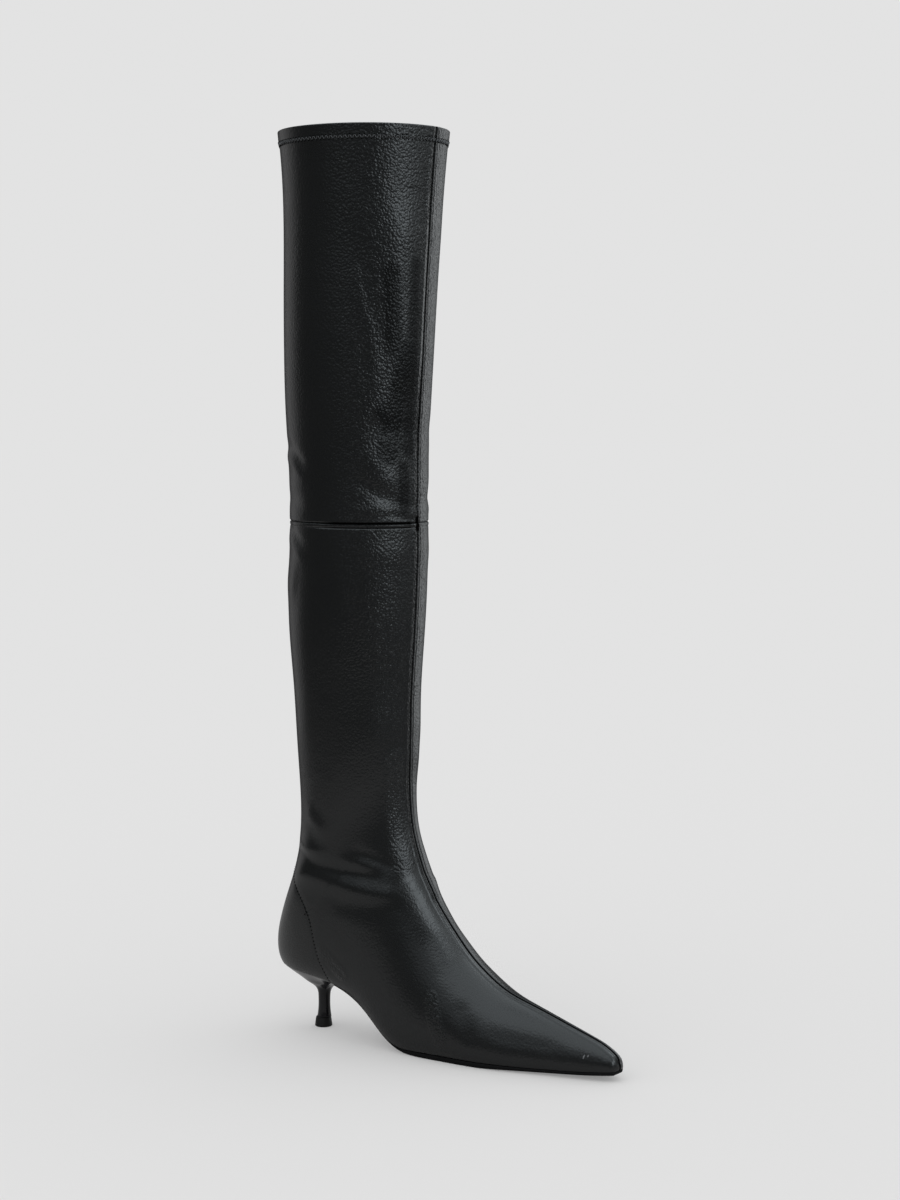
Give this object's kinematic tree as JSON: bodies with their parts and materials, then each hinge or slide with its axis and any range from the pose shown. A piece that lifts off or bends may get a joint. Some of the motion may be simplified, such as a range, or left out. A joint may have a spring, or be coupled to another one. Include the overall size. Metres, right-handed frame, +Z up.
{
  "type": "thigh high boot",
  "caption": "Pointed thigh high boot of soft black leather with a slim kitten heel, a seam down the front and a seam across the knee.",
  "frame": {"origin": "centre of the heel tip's floor face", "axes": "+Z up the leg, +X to the toe, +Y to the inner side of the right foot"},
  "size_m": [0.281, 0.1118, 0.632],
  "materials": {
    "leather": "soft semi-gloss with a fine grain",
    "sole": "satin black edge",
    "lining": "matte",
    "heel_lacquer": "glossy",
    "tip": "satin"
  },
  "bodies": {
    "root": {"upper": "leather", "thigh_shaft": "leather", "counter": "leather", "outsole": "sole", "insole": "lining", "heel": "heel_lacquer", "heel_tip": "tip"}
  },
  "joints": []
}
